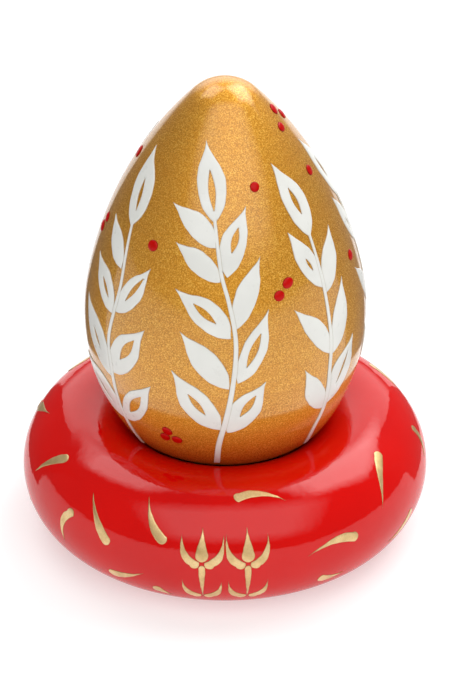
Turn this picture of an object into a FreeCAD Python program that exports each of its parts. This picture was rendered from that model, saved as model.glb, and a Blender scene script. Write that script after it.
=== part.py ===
import FreeCAD, Part
import math
import os
import Sketcher
from collections import namedtuple
from FreeCAD import Placement, Rotation, Vector

# A turned wooden egg, painted with raised leaf sprigs and berries, that stands in a
# turned ring with gold brush strokes. Millimetres, +Z up. The origin is on the surface
# that the ring stands on, under the egg's tip, and the front faces -Y.

DIMENSIONS = {
    # egg profile: five arcs, each tangent to the next, from the bottom to the tip
    "eggHeight": 100.4,
    "bottomArc": 56.0,
    "shoulderArc": 11.0,
    "bellyArc": 52.0,
    "flankArc": 101.0,
    "tipArc": 11.5,
    "bellyRadius": 35.0,
    "bellyHeight": 36.5,
    # the egg's lowest point, above the surface that the ring stands on
    "seatHeight": 23.1,
    # ring stand: a round section with its lowest millimetre turned flat as a foot
    "ringRadius": 34.6,
    "tubeRadius": 16.6,
    "tubeRise": 15.6,
    # raised paint
    "enamelThickness": 0.2,
    "berryRadius": 1.2,
    "berryRise": 0.4,
    "goldThickness": 0.12,
    "strokeWidth": 2.7,
    "stemTopWidth": 0.9,
    "stemFootWidth": 1.6,
}

# One leaf, drawn flat on a plane that faces the sprig: x to the right, z up from the
# egg's lowest point. left and right are the half widths of the two sides, seen from
# the base. slit is the open eye along the leaf: start and end as fractions of its
# length, and half width.
Leaf = namedtuple("Leaf", "base tip left right slit")
Leaf.__new__.__defaults__ = (None,)
Drawing = namedtuple("Drawing", "stem leaves")

# The two curves of a leaf's side, base to belly and belly to tip. Each control point is
# a fraction of the leaf's length and a share of the side's half width.
LEAF_RISE = ((0, 0), (0.08, 0.4), (0.16, 1), (0.48, 1))
LEAF_FALL = ((0.48, 1), (0.7, 1), (0.78, 0.28), (1, 0))

# How far a slit follows the leaf's fuller side, as a share of left minus right.
SLIT_SHIFT = 0.4

FRONT = Drawing(
    stem=((-2, 8), (-1.5, 16), (0, 24), (1.5, 32.5), (2.5, 41.5), (2.5, 48.5),
          (1, 56.5), (-1, 64), (-2.5, 75.5)),
    leaves=(
        Leaf((-2.5, 74.5), (-4.5, 91), 3.25, 3.75, (0.15, 0.65, 0.8)),
        Leaf((-2, 69), (-12.5, 77.5), 2, 3.5),
        Leaf((-1, 61.5), (-12, 69.5), 2.25, 3),
        Leaf((1.5, 48), (-12, 59), 2.75, 4.25, (0.3, 0.7, 0.8)),
        Leaf((1, 34.5), (-11, 49), 3, 3.5),
        Leaf((-1, 21.5), (-13, 38.5), 4, 3.5, (0.3, 0.65, 0.75)),
        Leaf((0.5, 62.5), (5, 78), 3.75, 2.5, (0.35, 0.7, 0.8)),
        Leaf((2.5, 50), (8.5, 67), 3, 2.5),
        Leaf((3, 36), (10.5, 54.5), 2.5, 3.5, (0.25, 0.7, 0.9)),
        Leaf((0.5, 20.5), (10, 36), 4, 3.5, (0.35, 0.75, 0.9)),
    ))

LEFT = Drawing(
    stem=((0, 7.5), (-0.5, 16), (-1, 32), (-2, 40), (-1, 48.5), (-0.5, 56), (-2.5, 69.5)),
    leaves=(
        Leaf((-2.5, 68.5), (-6, 86), 3.25, 4.5, (0.2, 0.6, 0.6)),
        Leaf((-1.5, 58.5), (-11, 68), 2.5, 2.75),
        Leaf((-1.5, 47), (-13.5, 57.5), 2.5, 4, (0.25, 0.6, 0.5)),
        Leaf((-1.5, 29.5), (-15.5, 46), 3, 5, (0.35, 0.6, 0.4)),
        Leaf((0, 16.5), (-17.5, 28), 3.25, 6.25, (0.25, 0.7, 0.5)),
        Leaf((-0.5, 48), (7.5, 62), 2.5, 3.5, (0.3, 0.8, 0.6)),
        Leaf((-0.5, 31), (9.5, 47), 4.5, 3.75, (0.33, 0.76, 1.2)),
        Leaf((0, 16.5), (12, 32.5), 3.25, 3.25, (0.25, 0.7, 1.2)),
    ))

RIGHT = Drawing(
    stem=((-1.5, 8.5), (-2.5, 15), (-2, 22), (-2.5, 33), (-2, 41), (-1.5, 56), (-1.5, 68.5)),
    leaves=(
        Leaf((-1.5, 67.5), (-4, 85.5), 2.75, 4.25, (0.3, 0.65, 0.7)),
        Leaf((-1.5, 55), (-7.5, 71), 3, 2.5, (0.33, 0.53, 0.35)),
        Leaf((-2.5, 38), (-11.5, 53), 2, 3.25),
        Leaf((-2, 21.5), (-10.5, 36.5), 3.5, 2),
        Leaf((-1.5, 53.5), (6.5, 67.5), 2.75, 3.25),
        Leaf((-2, 37.5), (6, 55), 2.5, 3.5),
        Leaf((-1.5, 22.5), (7.5, 39), 5, 3.5, (0.3, 0.77, 0.4)),
    ))

# Each sprig: name, drawing, 1 or -1 to mirror it, and the azimuth it faces,
# in degrees from the front towards +X.
SPRIGS = (
    ("white_sprig_front", FRONT, 1, 0),
    ("white_sprig_right", RIGHT, 1, 51),
    ("white_sprig_far_right", RIGHT, 1, 97),
    ("white_sprig_back", FRONT, -1, 163),
    ("white_sprig_far_left", RIGHT, -1, -128),
    ("white_sprig_left", LEFT, 1, -51),
)

# Each berry: azimuth in degrees, and height above the egg's lowest point.
BERRIES = (
    (20.5, 81.5), (29.5, 59.5), (24.5, 57), (71.5, 79.5), (75.5, 56.5), (72, 90),
    (86, 93), (96, 90.5), (-38.5, 67), (-26.5, 18.5), (-28.5, 16), (-22.5, 16),
    (-92.5, 80.5), (-83.5, 64.5), (-86, 61.5),
    (130, 78), (127, 60), (132, 57.5), (128, 19), (125, 16.5), (131, 16.5),
    (-158, 82), (-165, 62), (-160, 59.5), (-90, 19), (-93, 16.5), (-87, 16.5),
)

# One brush stroke on the ring, a drop with a round head and a pointed tail. azimuth and
# section place its middle, where section is the angle round the tube, from 0 at the
# outer side to 90 at the top. tilt is the way the head points, from 0 to the right to
# 90 up, and bow is how far the middle is bent to the left of that.
Stroke = namedtuple("Stroke", "azimuth section tilt length bow width")

STROKES = (
    (-96, 44, -150, 12, 0), (-67, 37, 50, 13.5, 0.5), (-50, 2, 80, 11.5, 1.75),
    (-39, 26, -53, 14.5, -0.5), (-21, 39.5, -60, 13, -1), (-29, -20, -158, 11.5, 0.5),
    (-18.5, -35, 143, 5.5, 0), (12, 61, 167, 13.5, -1.75), (56, 40, 53, 15.5, 1),
    (31.5, 7, 5, 15, 1.5), (85, 27, 59, 9, -1.5), (32, -27, 175, 8, 0.5),
    (60, -15, 20, 12, -1), (115, 50, 20, 11, 0), (108, 5, -70, 13, 1),
    (132, 24, 150, 14, -1), (146, 56, 35, 12, 1), (150, -12, 10, 12, 1),
    (168, 20, -55, 14, 1.5), (-176, 52, 160, 13, -1), (-164, -8, 75, 12, 1),
    (-150, 34, 40, 14, 1), (-132, 8, -160, 13, -1.5), (-126, 54, -25, 12, 1),
    (-108, 12, 65, 13, 1.5), (-82, -16, 175, 11, 1), (-118, -22, 25, 9, 0),
)

# The two edges of a drop start at its tail. Each control point is a fraction of the
# length, a share of the bend, and a share of the half width.
DROP_EDGE = ((0, 0, 0), (0.35, 1, 0.2), (0.68, 1, 1))

# The ornament at the front is a pair of tulips made of drops. Each row is across and up
# from the tulip's middle, tilt, length, bow and width. The side rows are mirrored too.
TULIP_MIDDLE = (
    (0, 6.8, -90, 9, 0, 3.2),
    (0, -4.8, 90, 12.5, 0, 1.7),
)
TULIP_SIDE = (
    (3.2, 5.2, -112, 10, 1.5, 2.6),
    (2.9, -6.8, -116, 8.5, 1.2, 2.4),
)
TULIP_ACROSS = (-5.6, 5.6)


def make_sheet(doc):
    sheet = doc.addObject("Spreadsheet::Sheet", "dims")
    for row, (name, value) in enumerate(DIMENSIONS.items(), start=1):
        sheet.set(f"A{row}", name)
        sheet.set(f"B{row}", str(value))
        sheet.setAlias(f"B{row}", name)
    doc.recompute()
    return sheet


# ---------------------------------------------------------------- egg profile

def circles_meet(centre_a, radius_a, centre_b, radius_b):
    """Where two circles meet, to the left of the line from centre a to centre b."""
    across = centre_b - centre_a
    gap = across.Length
    along = (gap**2 + radius_a**2 - radius_b**2) / (2 * gap)
    out = math.sqrt(radius_a**2 - along**2)
    ahead = across / gap
    left = Vector(-ahead.y, ahead.x, 0)
    return centre_a + ahead * along + left * out


def egg_arcs(sheet, grow=0.0):
    """The five profile arcs, bottom to tip, as (centre, radius, start, end angle)."""
    bottom, shoulder = sheet.bottomArc, sheet.shoulderArc
    belly, flank, tip = sheet.bellyArc, sheet.flankArc, sheet.tipArc
    bottom_at = Vector(0, bottom, 0)
    belly_at = Vector(sheet.bellyRadius - belly, sheet.bellyHeight, 0)
    tip_at = Vector(0, sheet.eggHeight - tip, 0)
    shoulder_at = circles_meet(bottom_at, bottom - shoulder, belly_at, belly - shoulder)
    flank_at = circles_meet(belly_at, flank - belly, tip_at, flank - tip)
    turns = [shoulder_at - bottom_at, shoulder_at - belly_at, belly_at - flank_at, tip_at - flank_at]
    angles = [-math.pi / 2] + [math.atan2(v.y, v.x) for v in turns] + [math.pi / 2]
    centres = (bottom_at, shoulder_at, belly_at, flank_at, tip_at)
    radii = (bottom, shoulder, belly, flank, tip)
    return [(centre, radius + grow, angles[i], angles[i + 1])
            for i, (centre, radius) in enumerate(zip(centres, radii))]


def add_arc(sketch, centre, radius, start, end):
    circle = Part.Circle(centre, Vector(0, 0, 1), radius)
    return sketch.addGeometry(Part.ArcOfCircle(circle, start, end))


def bind(sketch, name, formula, *constraint):
    """Adds a dimension to a sketch under a name, and binds it to the sheet."""
    index = sketch.addConstraint(Sketcher.Constraint(*constraint))
    sketch.renameConstraint(index, name)
    sketch.setExpression(f"Constraints.{name}", formula)


def new_body(doc, label):
    body = doc.addObject("PartDesign::Body", label)
    body.Label = label
    sketch = body.newObject("Sketcher::SketchObject", f"{label}_section")
    planes = [f for f in body.Origin.OriginFeatures if f.Role == "XZ_Plane"]
    sketch.AttachmentSupport = (planes[0], [""])
    sketch.MapMode = "FlatFace"
    return body, sketch


def revolve(body, sketch):
    turn = body.newObject("PartDesign::Revolution", f"{body.Label}_turned")
    turn.Profile = sketch
    turn.ReferenceAxis = (sketch, ["V_Axis"])
    turn.Angle = 360
    sketch.Visibility = False
    body.Tip = turn


def egg_body(doc, sheet):
    body, sketch = new_body(doc, "egg_body")
    arcs = [add_arc(sketch, *arc) for arc in egg_arcs(sheet)]
    bottom, shoulder, belly, flank, tip = arcs
    axis = sketch.addGeometry(Part.LineSegment(Vector(0, sheet.eggHeight, 0), Vector(0, 0, 0)))
    start, end, centre = 1, 2, 3
    origin, upright = -1, -2
    for lower, upper in zip(arcs, arcs[1:]):
        sketch.addConstraint(Sketcher.Constraint("Tangent", lower, end, upper, start))
    sketch.addConstraint(Sketcher.Constraint("Coincident", tip, end, axis, start))
    sketch.addConstraint(Sketcher.Constraint("Coincident", axis, end, bottom, start))
    sketch.addConstraint(Sketcher.Constraint("Coincident", bottom, start, origin, 1))
    sketch.addConstraint(Sketcher.Constraint("PointOnObject", tip, end, upright))
    sketch.addConstraint(Sketcher.Constraint("PointOnObject", bottom, centre, upright))
    sketch.addConstraint(Sketcher.Constraint("PointOnObject", tip, centre, upright))
    names = ("bottomArc", "shoulderArc", "bellyArc", "flankArc", "tipArc")
    for arc, name in zip(arcs, names):
        bind(sketch, name, f"dims.{name}", "Radius", arc, getattr(sheet, name))
    inset = sheet.bellyArc - sheet.bellyRadius
    bind(sketch, "bellyInset", "dims.bellyArc - dims.bellyRadius",
         "DistanceX", belly, centre, origin, 1, inset)
    bind(sketch, "bellyHeight", "dims.bellyHeight",
         "DistanceY", origin, 1, belly, centre, sheet.bellyHeight)
    bind(sketch, "eggHeight", "dims.eggHeight",
         "DistanceY", origin, 1, tip, end, sheet.eggHeight)
    revolve(body, sketch)
    body.setExpression("Placement.Base.z", "dims.seatHeight")
    return body


def ring_stand(doc, sheet):
    body, sketch = new_body(doc, "ring_stand")
    cut = math.asin(sheet.tubeRise / sheet.tubeRadius)
    tube = add_arc(sketch, Vector(sheet.ringRadius, sheet.tubeRise, 0), sheet.tubeRadius,
                   -cut, math.pi + cut)
    half_foot = sheet.tubeRadius * math.cos(cut)
    inner = Vector(sheet.ringRadius - half_foot, 0, 0)
    outer = Vector(sheet.ringRadius + half_foot, 0, 0)
    foot = sketch.addGeometry(Part.LineSegment(inner, outer))
    start, end, centre = 1, 2, 3
    origin, level = -1, -1
    sketch.addConstraint(Sketcher.Constraint("Coincident", tube, end, foot, start))
    sketch.addConstraint(Sketcher.Constraint("Coincident", foot, end, tube, start))
    sketch.addConstraint(Sketcher.Constraint("PointOnObject", foot, start, level))
    sketch.addConstraint(Sketcher.Constraint("PointOnObject", foot, end, level))
    bind(sketch, "tubeRadius", "dims.tubeRadius", "Radius", tube, sheet.tubeRadius)
    bind(sketch, "ringRadius", "dims.ringRadius",
         "DistanceX", origin, 1, tube, centre, sheet.ringRadius)
    bind(sketch, "tubeRise", "dims.tubeRise",
         "DistanceY", origin, 1, tube, centre, sheet.tubeRise)
    revolve(body, sketch)
    return body


# ---------------------------------------------------------------- sprigs

def bezier(*points):
    curve = Part.BezierCurve()
    curve.setPoles([Vector(*p) for p in points])
    return curve.toShape()


def leaf_side(point, half_width):
    """One side of a leaf from base to tip: full at the belly, then hollow to the tip."""
    edges = []
    for curve in (LEAF_RISE, LEAF_FALL):
        edges.append(bezier(*[point(fraction, share * half_width) for fraction, share in curve]))
    return edges


def leaf_face(leaf, mirror):
    base = Vector(mirror * leaf.base[0], 0, leaf.base[1])
    along = Vector(mirror * leaf.tip[0], 0, leaf.tip[1]) - base
    length = along.Length
    ahead = along / length
    left = Vector(-ahead.z, 0, ahead.x) * mirror

    def point(fraction, out):
        return base + ahead * (fraction * length) + left * out

    edges = leaf_side(point, leaf.left) + leaf_side(point, -leaf.right)
    face = Part.Face(Part.Wire(Part.__sortEdges__(edges)))
    if leaf.slit:
        start, end, half = leaf.slit
        middle = SLIT_SHIFT * (leaf.left - leaf.right)
        low = point(start, middle)
        high = point(end, middle)
        belly = (start + end) / 2
        sides = [Part.Arc(low, point(belly, middle + half), high).toShape(),
                 Part.Arc(high, point(belly, middle - half), low).toShape()]
        face = face.cut(Part.Face(Part.Wire(sides)))
    return face


def stem_face(stem, mirror, foot_width, top_width):
    points = [Vector(mirror * x, 0, z) for x, z in stem]
    sides = ([], [])
    for i, here in enumerate(points):
        before = points[max(i - 1, 0)]
        after = points[min(i + 1, len(points) - 1)]
        ahead = (after - before).normalize()
        across = Vector(-ahead.z, 0, ahead.x)
        share = i / (len(points) - 1)
        half = (foot_width + (top_width - foot_width) * share) / 2
        sides[0].append(here + across * half)
        sides[1].append(here - across * half)
    edges = []
    for side in sides:
        curve = Part.BSplineCurve()
        curve.interpolate(side)
        edges.append(curve.toShape())
    edges.append(Part.makeLine(sides[0][0], sides[1][0]))
    edges.append(Part.makeLine(sides[0][-1], sides[1][-1]))
    return Part.Face(Part.Wire(Part.__sortEdges__(edges)))


def sprig_prism(drawing, mirror, sheet):
    """The whole sprig, drawn on the XZ plane and pushed straight out past the egg."""
    faces = [leaf_face(leaf, mirror) for leaf in drawing.leaves]
    stem = stem_face(drawing.stem, mirror, sheet.stemFootWidth, sheet.stemTopWidth)
    out = Vector(0, -sheet.bellyRadius - 2 * sheet.enamelThickness, 0)
    prisms = [face.extrude(out) for face in faces]
    return stem.extrude(out).multiFuse(prisms).removeSplitter()


def arc_edge(centre, radius, start, end):
    """A profile arc, stood up on the XZ plane."""
    points = []
    for angle in (start, (start + end) / 2, end):
        points.append(Vector(centre.x + radius * math.cos(angle), 0, centre.y + radius * math.sin(angle)))
    return Part.Arc(*points).toShape()


def turned_solid(arcs):
    """The solid turned from a profile that starts and ends on the axis."""
    edges = [arc_edge(*arc) for arc in arcs]
    foot = edges[0].Vertexes[0].Point
    tip = edges[-1].Vertexes[-1].Point
    face = Part.Face(Part.Wire(edges + [Part.makeLine(tip, foot)]))
    return face.revolve(Vector(0, 0, 0), Vector(0, 0, 1), 360)


def add_skin(doc, sheet):
    skin = doc.addObject("Part::Feature", "enamel_skin")
    painted_egg = turned_solid(egg_arcs(sheet, sheet.enamelThickness))
    skin.Shape = painted_egg.cut(turned_solid(egg_arcs(sheet)))
    return skin


def add_sprig(doc, sheet, skin, name, drawing, mirror, azimuth):
    """The part of the enamel skin inside the drawing's prism, turned into place."""
    prism = doc.addObject("Part::Feature", f"{name}_prism")
    prism.Shape = sprig_prism(drawing, mirror, sheet)
    sprig = doc.addObject("Part::Common", name)
    sprig.Label = name
    sprig.Base = prism
    sprig.Tool = skin
    sprig.Placement = Placement(Vector(0, 0, sheet.seatHeight), Rotation(Vector(0, 0, 1), azimuth))
    return sprig


# ---------------------------------------------------------------- berries

def egg_spot(arcs, height):
    """Radius and outward normal angle of the egg's skin at a height."""
    for centre, radius, start, end in arcs:
        top = centre.y + radius * math.sin(end)
        if height <= top:
            angle = math.asin((height - centre.y) / radius)
            return centre.x + radius * math.cos(angle), angle
    raise ValueError("height is above the egg")


def red_berries(doc, sheet):
    """Each berry is the cap of a ball, flat on the egg's skin."""
    arcs = egg_arcs(sheet)
    ball_radius = (sheet.berryRadius**2 + sheet.berryRise**2) / (2 * sheet.berryRise)
    sink = ball_radius - sheet.berryRise
    caps = []
    for number, (azimuth, height) in enumerate(BERRIES, start=1):
        radius, normal = egg_spot(arcs, height)
        turn = math.radians(azimuth)
        level = Vector(math.sin(turn), -math.cos(turn), 0)
        up = Vector(0, 0, 1)
        spot = level * radius + up * (height + sheet.seatHeight)
        out = level * math.cos(normal) + up * math.sin(normal)
        cap = doc.addObject("Part::Sphere", f"berry_{number}")
        cap.setExpression("Radius", "(dims.berryRadius^2 + dims.berryRise^2) / (2 * dims.berryRise)")
        cap.setExpression(
            "Angle1", "asin(1 - 2 * dims.berryRise^2 / (dims.berryRadius^2 + dims.berryRise^2))")
        cap.Placement = Placement(spot - out * sink, Rotation(up, out))
        caps.append(cap)
    berries = doc.addObject("Part::Compound", "red_berries")
    berries.Label = "red_berries"
    berries.Links = caps
    return berries


# ---------------------------------------------------------------- gold paint on the ring

def drop_face(length, bow, width):
    """A brush drop on the XY plane, tail at -X, head at +X, bent towards +Y by bow."""
    half = width / 2
    tail, neck = -length / 2, length / 2 - half
    bend = 4 * bow / 3
    edges = []
    for side in (half, -half):
        points = [(tail + along * length, bent * bend + wide * side, 0) for along, bent, wide in DROP_EDGE]
        edges.append(bezier(*points, (neck, side, 0)))
    head = Part.Arc(Vector(neck, half, 0), Vector(length / 2, 0, 0), Vector(neck, -half, 0))
    edges.append(head.toShape())
    return Part.Face(Part.Wire(Part.__sortEdges__(edges)))


def ring_frame(sheet, stroke):
    """A placement on the tube's skin: X along the stroke, Z out of the ring."""
    place = Placement(Vector(0, 0, 0), Rotation(Vector(0, 0, 1), stroke.azimuth))
    place *= Placement(Vector(0, -sheet.ringRadius, sheet.tubeRise), Rotation())
    place *= Placement(Vector(0, 0, 0), Rotation(Vector(1, 0, 0), 90 - stroke.section))
    place *= Placement(Vector(0, 0, sheet.tubeRadius), Rotation(Vector(0, 0, 1), stroke.tilt))
    return place


def painted(sheet, strokes):
    """Each drop, pushed through a thin skin round the tube."""
    push = sheet.tubeRadius / 2
    up = Vector(0, 0, 1)
    centre = Vector(0, 0, sheet.tubeRise)
    wood = Part.makeTorus(sheet.ringRadius, sheet.tubeRadius, centre, up)
    paint = Part.makeTorus(sheet.ringRadius, sheet.tubeRadius + sheet.goldThickness, centre, up)
    skin = paint.cut(wood)
    solids = []
    for stroke in strokes:
        face = drop_face(stroke.length, stroke.bow, stroke.width)
        face.translate(Vector(0, 0, -push / 2))
        face.Placement = ring_frame(sheet, stroke) * face.Placement
        normal = face.Placement.Rotation.multVec(up)
        solids += face.extrude(normal * push).common(skin).Solids
    return Part.makeCompound(solids)


def add_paint(doc, sheet, name, strokes):
    paint = doc.addObject("Part::Feature", name)
    paint.Label = name
    paint.Shape = painted(sheet, strokes)
    return paint


def scattered_strokes(sheet):
    return [Stroke(*row, sheet.strokeWidth) for row in STROKES]


def tulip_strokes(sheet):
    rows = list(TULIP_MIDDLE)
    for across, up, tilt, length, bow, width in TULIP_SIDE:
        rows.append((across, up, tilt, length, bow, width))
        rows.append((-across, up, 180 - tilt, length, -bow, width))
    strokes = []
    for middle in TULIP_ACROSS:
        for across, up, tilt, length, bow, width in rows:
            section = up / sheet.tubeRadius
            reach = sheet.ringRadius + sheet.tubeRadius * math.cos(section)
            azimuth = (middle + across) / reach
            strokes.append(Stroke(math.degrees(azimuth), math.degrees(section),
                                  tilt, length, bow, width))
    return strokes


# ---------------------------------------------------------------- checks and files

def check(doc, pieces):
    for thing in doc.Objects:
        if "Invalid" in thing.State or "Error" in thing.State:
            raise RuntimeError(f"{thing.Name} failed: {thing.State}")
    for piece in pieces:
        shape = piece.Shape
        if shape.isNull() or not shape.isValid() or not shape.Solids:
            raise RuntimeError(f"{piece.Label} has no valid solid")
        size = shape.BoundBox
        print(f"{piece.Label}: {len(shape.Solids)} solids, {shape.Volume:.1f} mm3, "
              f"{size.XLength:.1f} x {size.YLength:.1f} x {size.ZLength:.1f} mm")


def main():
    doc = FreeCAD.newDocument("decorated_egg")
    sheet = make_sheet(doc)
    ring = ring_stand(doc, sheet)
    egg = egg_body(doc, sheet)
    doc.recompute()
    skin = add_skin(doc, sheet)
    pieces = [ring, egg]
    pieces += [add_sprig(doc, sheet, skin, *sprig) for sprig in SPRIGS]
    pieces.append(red_berries(doc, sheet))
    pieces.append(add_paint(doc, sheet, "gold_strokes", scattered_strokes(sheet)))
    pieces.append(add_paint(doc, sheet, "gold_ornament", tulip_strokes(sheet)))
    doc.recompute()
    check(doc, pieces)
    os.makedirs("parts", exist_ok=True)
    for piece in pieces:
        piece.Shape.exportStep(f"parts/{piece.Label}.step")


main()
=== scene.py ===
import math
from collections import namedtuple

import bpy
import numpy as np
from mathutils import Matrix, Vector
from mathutils.geometry import delaunay_2d_cdt


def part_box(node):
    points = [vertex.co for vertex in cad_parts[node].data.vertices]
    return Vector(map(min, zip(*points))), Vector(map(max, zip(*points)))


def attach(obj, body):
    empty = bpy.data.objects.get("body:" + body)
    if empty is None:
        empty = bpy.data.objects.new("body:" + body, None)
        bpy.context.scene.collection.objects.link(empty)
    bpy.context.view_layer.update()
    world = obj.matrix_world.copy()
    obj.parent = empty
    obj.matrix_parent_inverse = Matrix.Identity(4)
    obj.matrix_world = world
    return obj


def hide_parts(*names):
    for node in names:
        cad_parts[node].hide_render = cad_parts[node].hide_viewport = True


# A gold egg with raised white sprigs and red berries, in a red lacquered ring stand
# with gold brush strokes. Lengths are in millimetres until a mesh is made. Those of the
# materials, the lights and the camera are in metres.

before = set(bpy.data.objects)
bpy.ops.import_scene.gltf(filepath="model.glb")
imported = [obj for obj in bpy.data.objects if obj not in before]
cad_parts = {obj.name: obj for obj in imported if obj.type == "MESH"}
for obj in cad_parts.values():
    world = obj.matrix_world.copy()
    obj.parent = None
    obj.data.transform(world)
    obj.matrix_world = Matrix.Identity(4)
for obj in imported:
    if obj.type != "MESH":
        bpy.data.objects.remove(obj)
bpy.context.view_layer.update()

MM = 0.001
SEED = 7

# ---------------------------------------------------------------- sizes

EGG_HEIGHT = 100.4
BELLY_RADIUS = 35.0
BELLY_HEIGHT = 36.5
BOTTOM_ARC, SHOULDER_ARC, BELLY_ARC, FLANK_ARC, TIP_ARC = 56.0, 11.0, 52.0, 101.0, 11.5
SEAT_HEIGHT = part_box("egg_body")[0].z / MM

RING_RADIUS = 34.6
TUBE_RADIUS = 16.6
TUBE_RISE = 15.6

ENAMEL_RISE = 0.26
BERRY_RADIUS = 1.35
BERRY_RISE = 0.4
GOLD_RISE = 0.13
STROKE_WIDTH = 2.7
STEM_TOP_WIDTH = 0.9
STEM_FOOT_WIDTH = 1.6

# How far in from its edge the paint is rounded. A berry's share is of its radius.
ENAMEL_EDGE = 0.45
GOLD_EDGE = 0.3
BERRY_EDGE_SHARE = 0.9

# How unsteady a hand-drawn edge is, and the spread of the berries' sizes and lengths.
LEAF_WOBBLE = 0.1
STROKE_WOBBLE = 0.08
BERRY_SIZES = (0.9, 1.1)
BERRY_STRETCHES = (1.0, 1.2)

# ---------------------------------------------------------------- drawings

# One leaf, drawn flat on a plane that faces the sprig: x to the right, z up from the
# egg's lowest point. left and right are the half widths of the two sides, seen from
# the base. slit is the open eye along the leaf: start and end as fractions of its
# length, and half width.
Leaf = namedtuple("Leaf", "base tip left right slit", defaults=(None,))
Drawing = namedtuple("Drawing", "stem leaves")

# The two curves of a leaf's side, base to belly and belly to tip. Each control point is
# a fraction of the leaf's length and a share of the side's half width.
LEAF_RISE = ((0, 0), (0.08, 0.4), (0.16, 1), (0.48, 1))
LEAF_FALL = ((0.48, 1), (0.7, 1), (0.78, 0.28), (1, 0))

# How far a slit follows the leaf's fuller side, as a share of left minus right.
SLIT_SHIFT = 0.4

FRONT = Drawing(
    stem=((-2, 8), (-1.5, 16), (0, 24), (1.5, 32.5), (2.5, 41.5), (2.5, 48.5),
          (1, 56.5), (-1, 64), (-2.5, 75.5)),
    leaves=(
        Leaf((-2.5, 74.5), (-4.5, 91), 3.25, 3.75, (0.15, 0.65, 0.8)),
        Leaf((-2, 69), (-12.5, 77.5), 2, 3.5),
        Leaf((-1, 61.5), (-12, 69.5), 2.25, 3),
        Leaf((1.5, 48), (-12, 59), 2.75, 4.25, (0.3, 0.7, 0.8)),
        Leaf((1, 34.5), (-11, 49), 3, 3.5),
        Leaf((-1, 21.5), (-13, 38.5), 4, 3.5, (0.3, 0.65, 0.75)),
        Leaf((0.5, 62.5), (5, 78), 3.75, 2.5, (0.35, 0.7, 0.8)),
        Leaf((2.5, 50), (8.5, 67), 3, 2.5),
        Leaf((3, 36), (10.5, 54.5), 2.5, 3.5, (0.25, 0.7, 0.9)),
        Leaf((0.5, 20.5), (10, 36), 4, 3.5, (0.35, 0.75, 0.9)),
    ))

LEFT = Drawing(
    stem=((0, 7.5), (-0.5, 16), (-1, 32), (-2, 40), (-1, 48.5), (-0.5, 56), (-2.5, 69.5)),
    leaves=(
        Leaf((-2.5, 68.5), (-6, 86), 3.25, 4.5, (0.2, 0.6, 0.6)),
        Leaf((-1.5, 58.5), (-11, 68), 2.5, 2.75),
        Leaf((-1.5, 47), (-13.5, 57.5), 2.5, 4, (0.25, 0.6, 0.5)),
        Leaf((-1.5, 29.5), (-15.5, 46), 3, 5, (0.35, 0.6, 0.4)),
        Leaf((0, 16.5), (-17.5, 28), 3.25, 6.25, (0.25, 0.7, 0.5)),
        Leaf((-0.5, 48), (7.5, 62), 2.5, 3.5, (0.3, 0.8, 0.6)),
        Leaf((-0.5, 31), (9.5, 47), 4.5, 3.75, (0.33, 0.76, 1.2)),
        Leaf((0, 16.5), (12, 32.5), 3.25, 3.25, (0.25, 0.7, 1.2)),
    ))

RIGHT = Drawing(
    stem=((-1.5, 8.5), (-2.5, 15), (-2, 22), (-2.5, 33), (-2, 41), (-1.5, 56), (-1.5, 68.5)),
    leaves=(
        Leaf((-1.5, 67.5), (-4, 85.5), 2.75, 4.25, (0.3, 0.65, 0.7)),
        Leaf((-1.5, 55), (-7.5, 71), 3, 2.5, (0.33, 0.53, 0.35)),
        Leaf((-2.5, 38), (-11.5, 53), 2, 3.25),
        Leaf((-2, 21.5), (-10.5, 36.5), 3.5, 2),
        Leaf((-1.5, 53.5), (6.5, 67.5), 2.75, 3.25),
        Leaf((-2, 37.5), (6, 55), 2.5, 3.5),
        Leaf((-1.5, 22.5), (7.5, 39), 5, 3.5, (0.3, 0.77, 0.4)),
    ))

# Each sprig: name, drawing, 1 or -1 to mirror it, and the azimuth it faces,
# in degrees from the front towards +X.
SPRIGS = (
    ("white_sprig_front", FRONT, 1, 0),
    ("white_sprig_right", RIGHT, 1, 51),
    ("white_sprig_far_right", RIGHT, 1, 97),
    ("white_sprig_back", FRONT, -1, 163),
    ("white_sprig_far_left", RIGHT, -1, -128),
    ("white_sprig_left", LEFT, 1, -51),
)

# Each berry: azimuth in degrees, and height above the egg's lowest point.
BERRIES = (
    (20.5, 81.5), (29.5, 59.5), (24.5, 57), (71.5, 79.5), (75.5, 56.5), (72, 90),
    (86, 93), (96, 90.5), (-38.5, 67), (-26.5, 18.5), (-28.5, 16), (-22.5, 16),
    (-92.5, 80.5), (-83.5, 64.5), (-86, 61.5),
    (130, 78), (127, 60), (132, 57.5), (128, 19), (125, 16.5), (131, 16.5),
    (-158, 82), (-165, 62), (-160, 59.5), (-90, 19), (-93, 16.5), (-87, 16.5),
)

# One brush stroke on the ring, a drop with a round head and a pointed tail. azimuth and
# section place its middle, where section is the angle round the tube, from 0 at the
# outer side to 90 at the top. tilt is the way the head points, from 0 to the right to
# 90 up, and bow is how far the middle is bent to the left of that.
Stroke = namedtuple("Stroke", "azimuth section tilt length bow width")

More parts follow.
